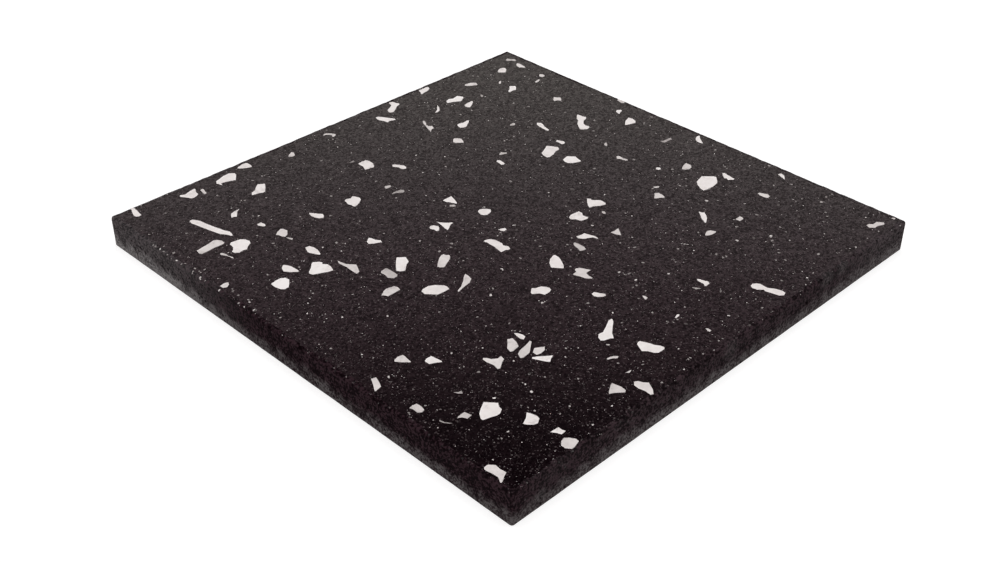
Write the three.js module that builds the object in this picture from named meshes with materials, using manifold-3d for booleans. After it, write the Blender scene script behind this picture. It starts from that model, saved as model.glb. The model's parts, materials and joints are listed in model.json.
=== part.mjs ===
// A square terrazzo tile: cement and marble chips cast in a mould as one slab, then ground flat on its face.
// Millimetres, +Z up. The underside lies on z = 0 with the origin at its middle, and the ground face is on top.

import * as THREE from 'three';
import { mergeVertices } from 'three/addons/utils/BufferGeometryUtils.js';
import Module from 'manifold-3d';

const sideLength = 300;     // the tile's nominal size, the same both ways
const thickness = 18;       // from the bedding face to the ground face
const arrisRadius = 1.2;    // the eased edge around the ground face
const footChamfer = 0.5;    // the small bevel around the underside, as the mould leaves it
const uprightRadius = 1.6;  // the rounding of the four upright edges
const roundSteps = 6;       // straight stretches in each quarter round
const overshoot = 1;        // how far a trimming outline runs past what it trims

const wasm = await Module();
wasm.setup();

// A closed geometry as a solid that can be cut.
function solidOf(geometry) {
  const bare = geometry.clone();
  bare.deleteAttribute('normal');
  bare.deleteAttribute('uv');
  const merged = mergeVertices(bare);
  return new wasm.Manifold(new wasm.Mesh({
    numProp: 3,
    vertProperties: merged.attributes.position.array,
    triVerts: new Uint32Array(merged.index.array),
  }));
}

// A solid as a geometry with flat faces.
function geometryOf(solid) {
  const mesh = solid.getMesh();
  const shared = new THREE.BufferGeometry();
  shared.setAttribute('position', new THREE.BufferAttribute(mesh.vertProperties, 3));
  shared.setIndex(new THREE.BufferAttribute(mesh.triVerts, 1));
  const faceted = shared.toNonIndexed();
  faceted.computeVertexNormals();
  return faceted;
}

// The tile seen from above: a square with rounded corners.
function planOutline() {
  const half = sideLength / 2;
  const turn = half - uprightRadius; // where each corner's round is centred
  const outline = new THREE.Shape();
  outline.moveTo(-turn, -half);
  outline.absarc(turn, -turn, uprightRadius, -Math.PI / 2, 0);
  outline.absarc(turn, turn, uprightRadius, 0, Math.PI / 2);
  outline.absarc(-turn, turn, uprightRadius, Math.PI / 2, Math.PI);
  outline.absarc(-turn, -turn, uprightRadius, Math.PI, Math.PI * 1.5);
  return outline;
}

// The tile cut across its middle: bevelled at the foot, rounded at the arris. x is across the tile and y is up.
function crossSection() {
  const half = sideLength / 2;
  const shoulder = thickness - arrisRadius; // the height at which the arris starts to turn in
  const section = new THREE.Shape();
  section.moveTo(-half + footChamfer, 0);
  section.lineTo(half - footChamfer, 0);
  section.lineTo(half, footChamfer);
  section.absarc(half - arrisRadius, shoulder, arrisRadius, 0, Math.PI / 2);
  section.absarc(-half + arrisRadius, shoulder, arrisRadius, Math.PI / 2, Math.PI);
  section.lineTo(-half, footChamfer);
  return section;
}

// A column with the plan's outline, a little taller than the tile.
function planColumn() {
  const column = new THREE.ExtrudeGeometry(planOutline(), {
    depth: thickness + 2 * overshoot,
    bevelEnabled: false,
    curveSegments: roundSteps,
  });
  return column.translate(0, 0, -overshoot);
}

// A bar with the tile's cross-section, running along Y and a little longer than the tile.
function sectionBar() {
  const barLength = sideLength + 2 * overshoot;
  const bar = new THREE.ExtrudeGeometry(crossSection(), {
    depth: barLength,
    bevelEnabled: false,
    curveSegments: roundSteps,
  });
  return bar.rotateX(Math.PI / 2).translate(0, barLength / 2, 0);
}

// The slab is what the column and two bars, one along each side of the square, have in common.
function slabGeometry() {
  const barAlongY = sectionBar();
  const barAlongX = barAlongY.clone().rotateZ(Math.PI / 2);
  const slab = solidOf(planColumn()).intersect(solidOf(barAlongY)).intersect(solidOf(barAlongX));
  return geometryOf(slab);
}

const blackTerrazzo = new THREE.MeshStandardMaterial({ color: 0x2d282a, roughness: 0.42, metalness: 0 });

const terrazzoSlab = new THREE.Mesh(slabGeometry(), blackTerrazzo);
terrazzoSlab.name = 'terrazzo_slab';

const tile = new THREE.Group();
tile.add(terrazzoSlab);

export default tile;
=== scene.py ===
# A black cement terrazzo tile as it was photographed: the cast body with its worn arris and mottled sides,
# the ground marble chips, the small stones and the grit, on a pale floor in a soft studio.
# Metres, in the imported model's frame: the origin is in the middle of the underside and the ground face is up.

import json
import math
import random

import bpy
import numpy as np
from mathutils import Matrix, Vector, noise
from mathutils.bvhtree import BVHTree

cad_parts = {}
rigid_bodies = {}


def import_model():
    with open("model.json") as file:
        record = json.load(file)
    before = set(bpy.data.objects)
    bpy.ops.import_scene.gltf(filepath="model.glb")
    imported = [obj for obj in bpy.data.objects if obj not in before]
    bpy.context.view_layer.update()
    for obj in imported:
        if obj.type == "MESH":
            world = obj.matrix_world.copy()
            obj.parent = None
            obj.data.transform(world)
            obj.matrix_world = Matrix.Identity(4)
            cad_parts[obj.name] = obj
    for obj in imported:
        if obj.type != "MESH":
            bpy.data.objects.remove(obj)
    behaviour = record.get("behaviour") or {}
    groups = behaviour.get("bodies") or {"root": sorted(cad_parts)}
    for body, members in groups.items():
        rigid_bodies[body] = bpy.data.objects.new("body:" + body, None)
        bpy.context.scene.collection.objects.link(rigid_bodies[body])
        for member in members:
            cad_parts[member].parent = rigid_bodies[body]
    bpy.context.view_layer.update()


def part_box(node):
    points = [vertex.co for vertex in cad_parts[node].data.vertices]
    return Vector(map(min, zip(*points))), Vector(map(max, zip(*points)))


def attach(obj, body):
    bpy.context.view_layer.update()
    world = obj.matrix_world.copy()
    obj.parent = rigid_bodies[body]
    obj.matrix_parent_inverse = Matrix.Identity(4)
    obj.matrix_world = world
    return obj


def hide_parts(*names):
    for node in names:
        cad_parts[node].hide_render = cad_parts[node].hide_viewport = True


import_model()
slabLow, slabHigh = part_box("terrazzo_slab")
mm = 0.001
half = slabHigh.x               # from the middle of the tile to a side
faceHeight = slabHigh.z         # the ground tops of the stones
arrisRadius = 1.2 * mm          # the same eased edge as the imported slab's
hair = 0.01 * mm                # what is closer than this counts as touching


# Small helpers for working as by hand

def deselectAll():
    if bpy.context.object and bpy.context.object.mode != "OBJECT":
        bpy.ops.object.mode_set(mode="OBJECT")
    bpy.ops.object.select_all(action="DESELECT")


def takeUp(piece):
    deselectAll()
    piece.select_set(True)
    bpy.context.view_layer.objects.active = piece


def leaveEdit():
    bpy.ops.object.mode_set(mode="OBJECT")


def workOn(piece, what, wanted, operator, **settings):  # one step on what a test picks
    takeUp(piece)
    bpy.ops.object.mode_set(mode="EDIT")
    bpy.ops.mesh.select_mode(type={"vertices": "VERT", "edges": "EDGE", "polygons": "FACE"}[what])
    bpy.ops.mesh.select_all(action="DESELECT")
    leaveEdit()
    for element in getattr(piece.data, what):
        element.select = bool(wanted(element))
    bpy.ops.object.mode_set(mode="EDIT")
    operator(**settings)
    leaveEdit()


def drawDown(middle, top, depth, taper):  # makes the outline in edit mode a closed stone, narrower below
    bpy.ops.mesh.select_all(action="SELECT")
    bpy.ops.transform.resize(value=(1, 1, 0), center_override=(*middle, top))
    bpy.ops.mesh.extrude_region_move(TRANSFORM_OT_translate={"value": (0, 0, -depth)})
    bpy.ops.transform.resize(value=(taper, taper, 1), center_override=(*middle, top - depth))
    bpy.ops.mesh.select_all(action="SELECT")
    bpy.ops.mesh.normals_make_consistent(inside=False)
    leaveEdit()


def joinAll(parts, name):
    deselectAll()
    for part in parts:
        part.select_set(True)
    bpy.context.view_layer.objects.active = parts[0]
    bpy.ops.object.join()
    joined = bpy.context.object
    joined.name = name
    joined.data.name = name
    return joined


def arrisDrop(x, y):  # how far the eased edge lies below the ground face at a point
    reach = max(abs(x), abs(y)) - (half - arrisRadius)
    if reach <= 0:
        return 0.0
    reach = min(reach, arrisRadius)
    return arrisRadius - math.sqrt(arrisRadius ** 2 - reach ** 2)


# Shader maths and nodes

class Wire:  # a socket's value; sums on it add Math nodes
    def __init__(self, shader, socket):
        self.shader = shader
        self.socket = socket

    def math(self, operation, first, second):
        return self.shader.node("ShaderNodeMath", {"operation": operation}, {0: first, 1: second})

    def __add__(self, other):
        return self.math("ADD", self, other)

    def __radd__(self, other):
        return self.math("ADD", other, self)

    def __sub__(self, other):
        return self.math("SUBTRACT", self, other)

    def __rsub__(self, other):
        return self.math("SUBTRACT", other, self)

    def __mul__(self, other):
        return self.math("MULTIPLY", self, other)

    def __rmul__(self, other):
        return self.math("MULTIPLY", other, self)


class Shader:
    def __init__(self, tree):
        self.tree = tree
        self.tree.nodes.clear()

    def node(self, kind, settings=None, inputs=None, output=0):
        made = self.tree.nodes.new(kind)
        for key, setting in (settings or {}).items():
            if key == "stops":
                self.setStops(made.color_ramp, setting)
            else:
                setattr(made, key, setting)
        for key, given in (inputs or {}).items():
            if isinstance(given, Wire):
                self.tree.links.new(given.socket, made.inputs[key])
            else:
                made.inputs[key].default_value = given
        return Wire(self, made.outputs[output]) if made.outputs else made

    def setStops(self, ramp, stops):
        while len(ramp.elements) < len(stops):
            ramp.elements.new(0.5)
        for element, (position, colour) in zip(ramp.elements, stops):
            element.position = position
            element.color = (*colour, 1.0)

    def place(self):
        return self.node("ShaderNodeTexCoord", output="Object")

    def axis(self, vector, name):
        return self.node("ShaderNodeSeparateXYZ", inputs={"Vector": vector}, output=name)

    def noise(self, vector, size, detail, rough):  # size is the rough width of a patch, in metres
        return self.node("ShaderNodeTexNoise", inputs={
            "Vector": vector, "Scale": 1.0 / size, "Detail": detail, "Roughness": rough})

    def ramp(self, value, low, high):  # 0 at low, 1 at high, eased between, either way round
        return self.node("ShaderNodeMapRange", {"interpolation_type": "SMOOTHSTEP"}, {
            "Value": value, "From Min": low, "From Max": high})

    def blend(self, share, first, second):
        return self.node("ShaderNodeMix", {"data_type": "RGBA"}, {
            0: share, 6: self.colour(first), 7: self.colour(second)}, output=2)

    def colour(self, given):
        return given if isinstance(given, Wire) else (*given, 1.0)

    def bump(self, height, distance):
        return self.node("ShaderNodeBump", inputs={
            "Height": height, "Distance": distance, "Strength": 1.0}, output="Normal")

    def surface(self, inputs):
        body = self.node("ShaderNodeBsdfPrincipled", inputs=inputs)
        self.node("ShaderNodeOutputMaterial", inputs={"Surface": body})


def newShader(name):
    material = bpy.data.materials.new(name)
    material.use_nodes = True
    return material, Shader(material.node_tree)


# Camera

cameraView = {
    "sensorWidth": 36.0,
    "lens": 48.58,
    "lookAt": (-0.02686, -0.02016, 0.0),
    "distance": 0.70035,
    "yaw": 45.343,          # degrees from +Y towards +X, the way the camera looks
    "elevation": 34.254,    # degrees down
    "roll": 0.519,
}


def makeCamera():
    yaw = math.radians(cameraView["yaw"])
    down = math.radians(cameraView["elevation"])
    roll = math.radians(cameraView["roll"])
    forward = Vector((math.sin(yaw) * math.cos(down), math.cos(yaw) * math.cos(down), -math.sin(down)))
    levelRight = Vector((math.cos(yaw), -math.sin(yaw), 0.0))
    levelUp = levelRight.cross(forward)
    right = levelRight * math.cos(roll) + levelUp * math.sin(roll)
    up = levelUp * math.cos(roll) - levelRight * math.sin(roll)
    bpy.ops.object.camera_add()
    camera = bpy.context.object
    camera.name = "studio_camera"
    camera.data.sensor_width = cameraView["sensorWidth"]
    camera.data.lens = cameraView["lens"]
    turn = Matrix((right, up, -forward)).transposed()
    spot = Vector(cameraView["lookAt"]) - forward * cameraView["distance"]
    camera.matrix_world = Matrix.Translation(spot) @ turn.to_4x4()
    bpy.context.scene.camera = camera


# Floor

floorFinish = {
    "width": 16.0,
    "colour": (0.40, 0.40, 0.40),
    "cloudColour": (0.35, 0.35, 0.35),
    "clouds": (0.6, 3.0, 0.5),      # a noise's width, detail and roughness, here and below
    "cloudShare": 0.04,
    "roughness": 0.9,
    "specular": 0.1,
    "glowColour": (1, 1, 1, 1),
    "glow": 0.72,                   # lifts the pale sheet and its shadow towards the photograph's white
}


def makeFloor():
    bpy.ops.mesh.primitive_plane_add(size=floorFinish["width"], location=(0, 0, 0))
    floor = bpy.context.object
    floor.name = "studio_floor"
    material, shader = newShader("pale_floor")
    clouds = shader.noise(shader.place(), *floorFinish["clouds"])
    share = clouds * floorFinish["cloudShare"]
    shader.surface({
        "Base Color": shader.blend(share, floorFinish["colour"], floorFinish["cloudColour"]),
        "Roughness": floorFinish["roughness"],
        "Specular IOR Level": floorFinish["specular"],
        "Emission Color": floorFinish["glowColour"],
        "Emission Strength": floorFinish["glow"],
    })
    floor.data.materials.append(material)


# Light: a broad soft box overhead, dim in its middle, and a low pale surround, with a dark gap between them

studioLight = {
    "softBox": 4.4,         # radiance of its brightest ring
    "bands": [              # degrees up, and the radiance there
        (0, (0.58, 0.54, 0.50)),
        (26, (0.57, 0.53, 0.49)),
        (30, (0.53, 0.455, 0.465)),
        (33, (0.46, 0.34, 0.37)),
        (36, (0.35, 0.24, 0.27)),
        (38, (0.22, 0.135, 0.155)),
        (40.3, (0.0, 0.0, 0.0)),
        (62, (0.0, 0.0, 0.0)),
        (66, (4.4, 4.4, 4.4)),
        (78, (4.4, 4.4, 4.4)),
        (84, (0.6, 0.6, 0.6)),
    ],
}


def makeLight():
    world = bpy.data.worlds.new("studio_surround")
    world.use_nodes = True
    shader = Shader(world.node_tree)
    direction = shader.node("ShaderNodeTexCoord", output="Generated")
    brightest = studioLight["softBox"]
    stops = [(math.sin(math.radians(degrees)), tuple(part / brightest for part in radiance))
             for degrees, radiance in studioLight["bands"]]
    level = shader.node("ShaderNodeValToRGB", {"stops": stops}, {"Fac": shader.axis(direction, "Z")})
    glow = shader.node("ShaderNodeBackground", inputs={"Color": level, "Strength": brightest})
    shader.node("ShaderNodeOutputWorld", inputs={"Surface": glow})
    bpy.context.scene.world = world
    bpy.context.scene.view_settings.view_transform = "Standard"


# Marble chips. Each outline is the chip's ground top, read in millimetres across the face.

marbleChips = {
    "depth": 0.38,          # how deep a chip goes, as a share of its length
    "deepest": 4.5 * mm,
    "taper": 0.72,
    "cuts": 3,              # more corners on each side of an outline
    "ragged": 0.6,          # unevenness of the broken rims
    "trim": 0.055,          # how far cement laps over the rims, as a share of the chip's thickness
    "widestTrim": 0.38,     # in mm
    "clearance": 0.05 * mm,     # from the tile's sides
    "smooth": 25,           # degrees
    "tones": {"bright": 1.0, "white": 0.92, "dull": 0.80, "grey": 0.68, "faint": 0.55},
    "toneStray": 0.03,
    "seed": 31,
    "bright": [
        [(-121.2, 82.9), (-119.5, 84), (-114.1, 83.2), (-112.2, 81.3), (-111.4, 78.1), (-112.5, 75.9),
         (-115.2, 74.3), (-117.4, 72.2), (-119.5, 72.9), (-122.2, 72.4), (-124.1, 74), (-124.7, 76.2),
         (-123.1, 77.5), (-121.7, 79.4)],
        [(69, 122.3), (70.7, 124.4), (73.4, 125.1), (75.8, 123.6), (80.1, 124.7), (81.2, 123.1),
         (82.3, 120.7), (80.9, 119), (77.1, 117.2), (74.7, 118.5), (71.5, 120.1), (69.3, 120.9)],
        [(109.7, 108.5), (113, 111.5), (116.2, 109.3), (115.2, 107.2), (112.4, 104.8), (110.3, 105.5),
         (107.3, 105), (106.5, 105.8), (107.6, 107.4)],
        [(-127.9, 39.1), (-124.6, 39.9), (-121.3, 39.9), (-119.1, 38.3), (-118.7, 35.6), (-120.5, 33.1),
         (-123.2, 30.2), (-126, 30.1), (-127.6, 31.7), (-128.4, 35), (-128.4, 37.8)],
        [(-100.9, 40.1), (-97.9, 37.8), (-97.2, 36.1), (-98.1, 35), (-96.3, 32.9), (-96.5, 30.1),
         (-97.9, 26.4), (-101.1, 27.1), (-104.9, 29), (-108.2, 30.6), (-109, 32.6), (-108.2, 34.2),
         (-104.9, 36.7), (-102.8, 38.9)],
        [(67.4, 23.8), (72.4, 24.9), (74, 23), (75.8, 20.9), (74.8, 18.1), (74, 14.8), (72.4, 14.8),
         (68.5, 16.5), (66.3, 18.7), (66.3, 21.3)],
        [(-78.8, -92.2), (-76.4, -93.6), (-73.7, -95.8), (-70.6, -98.3), (-73.2, -99.5), (-75.3, -100.9),
         (-76.7, -99.5), (-78.6, -95.8), (-79.8, -93.1)],
    ],
    "white": [
        [(-4.7, -117.8), (-3.9, -118.6), (-5.2, -119.5), (-7.7, -119.5), (-7.7, -118.7)],
        # towards the left corner
        [(-135.9, 149.5), (-138.1, 149.5), (-138.5, 147.4), (-140, 144.3), (-140.9, 141.2), (-140.5, 139.6),
         (-139.2, 138.6), (-137.2, 139), (-136.7, 142), (-136.1, 145.6)],
        [(-112.2, 141.7), (-110.9, 142.6), (-108.7, 141.5), (-104.4, 142.8), (-101.3, 143.1), (-101, 141.7),
         (-102.6, 139), (-102.9, 136.3), (-105, 135), (-107.7, 134.4), (-109, 135.3), (-110.4, 138),
         (-112.2, 140.4)],
        [(-89.9, 139), (-88.3, 141.5), (-82.3, 143.6), (-77.8, 143.9), (-75.2, 141.7), (-75.6, 139.3),
         (-77.8, 136.6), (-79.4, 134.4), (-82.3, 135.5), (-85.1, 136.6), (-87.5, 136.9), (-88, 135),
         (-89.1, 135.8), (-89.4, 137.7)],
        [(-71.5, 145.3), (-69.4, 146.2), (-65.6, 147.1), (-63.4, 146.5), (-63.1, 142.3), (-64.2, 140.2),
         (-66.1, 140.7), (-69.1, 142.3), (-70.7, 143.6)],
        [(-73.7, 122.7), (-70.2, 120.1), (-72.1, 116.9), (-75.3, 112.8), (-77.2, 112.6), (-79.1, 113.6),
         (-83.4, 114.7), (-81.8, 117.4), (-78.8, 118.5), (-76.4, 120.9)],
        [(-122.5, 116.9), (-120.4, 116.6), (-118.2, 112.6), (-117.4, 107.2), (-116, 101.3), (-114.7, 96.4),
         (-113.3, 92.9), (-113.6, 90.5), (-114.7, 88.2), (-115.8, 88.6), (-116.8, 91.3), (-119, 94.3),
         (-120.4, 99.7), (-122, 106.6), (-122.8, 110.4), (-123.6, 113.1), (-123.3, 115.3)],
        [(-96.4, 108.2), (-99.4, 108), (-102.6, 107.2), (-104.1, 105.3), (-105, 103.4), (-103.4, 103.2),
         (-102.3, 102.1), (-101, 103.5), (-98.8, 106.3), (-96.9, 107.4)],
        [(-99.4, 88.9), (-96.4, 88.9), (-95.9, 85.6), (-97.2, 83.9), (-98.6, 85.1), (-99.6, 87)],
        # along the back left edge
        [(-72.6, 78.9), (-71.5, 78.1), (-69.4, 75.1), (-67.5, 72.7), (-68.3, 70.8), (-69.9, 69.1),
         (-72.3, 70.5), (-73.4, 72.7), (-73.8, 75.4), (-73.4, 77.5)],
        [(-147, 54.9), (-144.1, 55.7), (-141.7, 54.9), (-142.5, 52.8), (-144.7, 51.4), (-146.7, 52.2)],
        [(25.3, 138.1), (26.9, 137.6), (28.8, 135.1), (31, 131.3), (32.7, 128.2), (31.9, 126.6), (30.2, 127),
         (28.3, 128), (26.1, 127.5), (25.3, 130.2), (24.2, 132.9), (23.9, 135.1), (24.5, 137)],
        [(35.1, 138.1), (36.5, 140.3), (39.8, 141.9), (42.3, 143.6), (42.8, 146.2), (44.2, 147.3),
         (46.4, 146.5), (46.9, 143.6), (48.1, 141.9), (46.9, 140.3), (44.2, 139.5), (40.9, 137),
         (37.6, 135.2), (36, 135.6), (35.1, 136.7)],
        [(-19.3, 101.8), (-16.5, 102.3), (-13.2, 102.1), (-12.2, 99.6), (-12.4, 96), (-13.8, 93.3),
         (-15.7, 91.7), (-17.1, 92.7), (-18.7, 92.5), (-21.1, 93.5), (-19.5, 97.4), (-19.7, 100.1)],
        [(-5.9, 87.2), (-4.5, 86.4), (-2.9, 83.9), (-1.5, 81.7), (-1.8, 79.6), (-3.1, 78.1), (-4.8, 78.5),
         (-5.9, 80.1), (-5.6, 82), (-6.7, 83.7), (-7.5, 85.1), (-7, 86.4)],
        # towards the back corner
        [(-52.1, 71), (-51.5, 73.3), (-51.1, 75.2), (-49.8, 76.2), (-48.4, 76.1), (-46.7, 75.3),
         (-44.4, 76.4), (-43.1, 74.1), (-42.4, 71.9), (-43.4, 69.7), (-46, 68), (-48.8, 66.5), (-50.8, 66.3),
         (-51.5, 67.7), (-51.4, 69.3)],
        [(68, 146.8), (75.3, 146.8), (75.9, 145.7), (75, 143.6), (72, 142), (68.8, 141.7), (66.1, 141.1),
         (65.5, 141.7), (66.9, 143.9)],
        [(126.5, 133.8), (129, 133.5), (130.4, 132), (128.9, 129.4), (125.5, 126.8), (124.2, 127.7),
         (121.9, 129.9), (121.9, 131.1), (123.9, 132.8)],
        [(140.3, 131.7), (141.4, 130.4), (141.1, 127.2), (140.3, 123.4), (138.9, 123.4), (137.9, 125.3),
         (136.8, 125.8), (137, 128.5), (138.7, 130.7)],
        [(62.8, 123.6), (61.8, 120.9), (59.7, 118), (57.8, 116.8), (54.8, 116.8), (55.4, 117.7),
         (58.6, 119.3), (60.5, 121.7)],
        [(74.7, 112.6), (76.3, 112.9), (82.5, 113.1), (80.9, 110.9), (77.4, 108.5), (75, 107.4),
         (73.9, 108.8), (73.5, 110.4)],
        # along the front left edge
        [(53.5, 96.7), (55.4, 97.2), (58.6, 96.4), (61.8, 96.8), (63.1, 95.9), (61.3, 94), (58.6, 92.4),
         (56.7, 91), (54.5, 90.8), (52.1, 92.4), (52.4, 94.8)],
        [(89.6, 65.4), (91.5, 63.5), (91.2, 61.4), (89.6, 58.7), (89, 56), (88.5, 53.6), (87.1, 53.3),
         (86.3, 54.6), (86.9, 60.9), (87.7, 63.5)],
        [(-95.6, 53.1), (-94.1, 53.5), (-92.5, 53), (-91.6, 50.4), (-91.6, 47.1), (-92.5, 44.4),
         (-93.3, 42.5), (-94.6, 42.6), (-95.8, 45), (-97.1, 47.7), (-97.2, 49), (-96.5, 51.2)],
        [(-113.4, 48.5), (-112, 47.6), (-110.6, 44.9), (-110.3, 40), (-110.6, 37.7), (-111.7, 37.7),
         (-114.7, 40.2), (-116.9, 43.3), (-115.8, 46.3)],
        [(-65.8, 37.7), (-64.7, 36.4), (-64.2, 33.9), (-62.5, 31.5), (-63.6, 29.1), (-65, 30.1),
         (-67.7, 31.2), (-69.9, 33.1), (-69.1, 35.6)],
        [(-67.7, 13.8), (-63.8, 10.5), (-65.5, 6.1), (-67.7, 5), (-72.7, 0.9), (-75.4, 2.5), (-76.2, 4.4),
         (-73.7, 7.7), (-69.9, 11.9)],
        # around the middle
        [(-79.5, -17.7), (-77.6, -16.5), (-73.7, -16.4), (-70.5, -18), (-67.4, -21.5), (-66.9, -23.4),
         (-67.7, -26.1), (-73.2, -26.1), (-75.4, -25.8), (-78.1, -22.8), (-80, -20.7)],
        [(-36.9, 22.9), (-34.9, 23.8), (-33.3, 23.1), (-31.9, 20.5), (-33, 18.5), (-34.9, 17), (-36.5, 17.5),
         (-36.3, 19.6), (-37.2, 21.2)],
        [(-30, 24.7), (-28.6, 22.6), (-26.1, 19.6), (-24.2, 18.5), (-24.2, 17.4), (-26.7, 16.9), (-30, 14.7),
         (-31.5, 14.2), (-31.5, 16.9), (-30.5, 21.2)],
        [(-12.7, 38.3), (-10.8, 38.8), (-8.6, 38.6), (-5.8, 38.5), (-6.7, 35), (-8, 31.7), (-9.4, 30.1),
         (-10.5, 31.9), (-11.3, 33.9), (-12.4, 35.5)],
        [(-7.5, 16.6), (-5.3, 17.9), (-3.1, 17.2), (-1.1, 15.2), (-0.3, 13.3), (-2, 11.1), (-5.8, 10.3),
         (-7.5, 11.4), (-8.4, 13), (-8, 14.9)],
        [(38.7, 48.7), (40.4, 49.4), (41.5, 47.9), (41.2, 44.9), (40.9, 43.5), (39.3, 42.9), (37.9, 43.8),
         (38.4, 46)],
        [(-12.2, -3.6), (-10.2, -4.1), (-8.3, -5.2), (-8.6, -6.8), (-10.8, -7.3), (-11.9, -6)],
        [(-25.8, -6.6), (-24.2, -5.9), (-21.1, -7.4), (-19.7, -10.1), (-19.5, -14.8), (-20.6, -16.5),
         (-19.3, -19), (-20.1, -21.1), (-21.4, -21.9), (-23.4, -20.8), (-26.4, -20.6), (-26.1, -17.3),
         (-25.3, -14), (-25.3, -9)],
        [(22.5, -23), (23.6, -21), (26.6, -20), (32.1, -20.8), (32.4, -23.3), (30.7, -25.5), (31.3, -28.8),
         (29.9, -29.7), (26.6, -29.2), (24.9, -27.9), (24.4, -25.5), (22.7, -24.1)],
        [(45, -14.8), (46.7, -16.5), (46.1, -18.1), (49.4, -21.3), (49.2, -25.5), (47.5, -26.8),
         (44.2, -25.5), (41.2, -23.3), (38.7, -22.8), (39.3, -20.8), (42, -17.6)],
        [(12.1, -36.7), (15.1, -37.5), (17.9, -37.6), (18.7, -40.3), (19.8, -43.6), (19.5, -46.4),
         (18.4, -46.4), (17.6, -43.9), (15.7, -42.8), (12.9, -41.4), (11.5, -39)],
        # along the back right edge
        [(-8.3, -40.9), (-8.5, -44.7), (-10.2, -48), (-12.1, -51.1), (-13.8, -52.7), (-14.6, -53.1),
         (-16.5, -51.1), (-18.8, -47.8), (-16.3, -44.2), (-13.5, -42), (-10.2, -40.8)],
        [(65.8, 38.3), (69.9, 40.2), (72.9, 41.7), (75.1, 38.9), (76.7, 35.6), (75.4, 33.1), (71.8, 32.7),
         (68.5, 31.2), (64.4, 30.5), (62.8, 31.5), (62.9, 35), (64.4, 37.8)],
        [(80.6, 41.3), (82.8, 42.2), (83.3, 40.2), (84.4, 38.3), (83.6, 36.4), (82, 35.6), (80.6, 36.4),
         (80.7, 38.9)],
        [(115.1, 55.6), (113.6, 54.9), (111.5, 53.3), (110.2, 51.6), (109.2, 49.9), (106.1, 47.7),
         (104.5, 45.7), (101.9, 42), (102.7, 40.1), (105.1, 38.3), (108.1, 38.9), (109.2, 40.8),
         (108.4, 42.6), (109.4, 44.8), (111.7, 46.8), (115.3, 47.9), (116.8, 49.6), (115.9, 51.6),
         (115.8, 54)],
        [(134.5, 41.9), (136.7, 42.8), (138.9, 41.1), (138.1, 39.4), (135.9, 39.1), (133.7, 38),
         (133.6, 39.1)],
        [(134.5, 31.5), (135.3, 28.4), (134.2, 25.2), (132, 23.5), (129.8, 24.3), (125.5, 25.7),
         (125.7, 27.1), (129.8, 30.1)],
        [(146.3, -12.4), (146.7, -13.5), (145, -14.8), (143.5, -16.7), (141.8, -19.1), (140.5, -20.7),
         (139.6, -19.1), (139.6, -16.6), (140.7, -14.7), (142.2, -13.3), (144.3, -12.5)],
        [(97, -20.5), (99, -19.7), (100.3, -21.2), (99.2, -22.9), (97.3, -22.3)],
        # towards the front corner
        [(109.6, -43.6), (112, -46), (114.4, -48.4), (115, -50.1), (112.4, -52.9), (109.7, -55),
         (104.9, -55.7), (99.6, -55.3), (97.1, -54.5), (97.7, -52.1), (100.2, -47.6), (102.5, -45.3),
         (105.2, -44.5)],
        [(-116, -60.1), (-114.1, -59.1), (-110.9, -59.2), (-109.9, -65.5), (-110.4, -66.6), (-113.1, -64.9),
         (-116, -63.5)],
        [(-71.5, -73.6), (-70.2, -74.4), (-69.1, -77.4), (-69.4, -79.5), (-71.8, -80.6), (-72.6, -79),
         (-72.3, -75.8)],
        [(-117.1, -99.5), (-114.7, -102.2), (-112.6, -104.8), (-114.1, -106.7), (-114.7, -109.2),
         (-117.4, -110.8), (-119.5, -110.8), (-122.5, -109.7), (-126.3, -108.6), (-126.3, -107),
         (-124.4, -104), (-121.2, -101.7)],
        [(-108.7, -117.8), (-107.7, -119.4), (-106.8, -122.7), (-107.4, -124.9), (-110.4, -126.9),
         (-112.8, -126.2), (-115, -123.8), (-115.7, -122.1), (-112, -120.2)],
        [(-111.2, -134), (-106, -134.3), (-106, -136.7), (-105.5, -138.4), (-108.7, -138.8),
         (-109.5, -136.7)],
        # along the front right edge
        [(-38.6, -53.3), (-37.2, -54.6), (-34, -55.7), (-32.3, -57.9), (-31.8, -59.8), (-32.6, -61.7),
         (-34.8, -62.6), (-38.3, -62.4), (-39.6, -59.6), (-42.6, -57.4), (-41.9, -55.7)],
        [(-21.3, -77.5), (-19, -77.3), (-17.6, -80), (-16.2, -82.2), (-17, -83.8), (-19, -83.6),
         (-21.3, -81.6), (-22.1, -79.7)],
        [(-30.1, -97.8), (-29.5, -98.6), (-31.2, -100.8), (-35.3, -103.8), (-38.3, -106.2), (-41.1, -109.5),
         (-42.4, -108.4), (-46, -107.3), (-47.1, -105.9), (-46, -103.3), (-43.8, -101.6), (-41.1, -101.9),
         (-36.1, -99.7), (-32.3, -97.8)],
        [(-35.3, -118.6), (-33.9, -118.9), (-31.8, -123), (-31.3, -125.4), (-29.6, -128.2), (-29.3, -130.4),
         (-30.7, -131.5), (-35, -131.3), (-36.6, -129.8), (-37.8, -127), (-39.8, -124.8), (-38.3, -121.6),
         (-37, -119.4)],
        # towards the right corner
        [(25.9, -105.4), (27, -106.8), (27.8, -109.5), (28.5, -111.1), (27.5, -112.8), (24, -113.1),
         (23.7, -112.2), (24.8, -110.6), (24.8, -107.3)],
        [(39.9, -127.8), (42.1, -127.3), (44.3, -128.7), (45.1, -130.3), (44.9, -135), (47, -138),
         (48.1, -141.8), (47.6, -144), (45.1, -144.8), (42.9, -143.2), (42.1, -140.1), (41, -136.3),
         (41.4, -134.7), (39.3, -132.5), (38.8, -129.7)],
        [(120.3, -49.5), (121.8, -50.4), (121.1, -53.7), (120.3, -58.6), (118.9, -59), (116.3, -56.7),
         (117.3, -55), (116.3, -54), (118.4, -51.5)],
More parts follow.
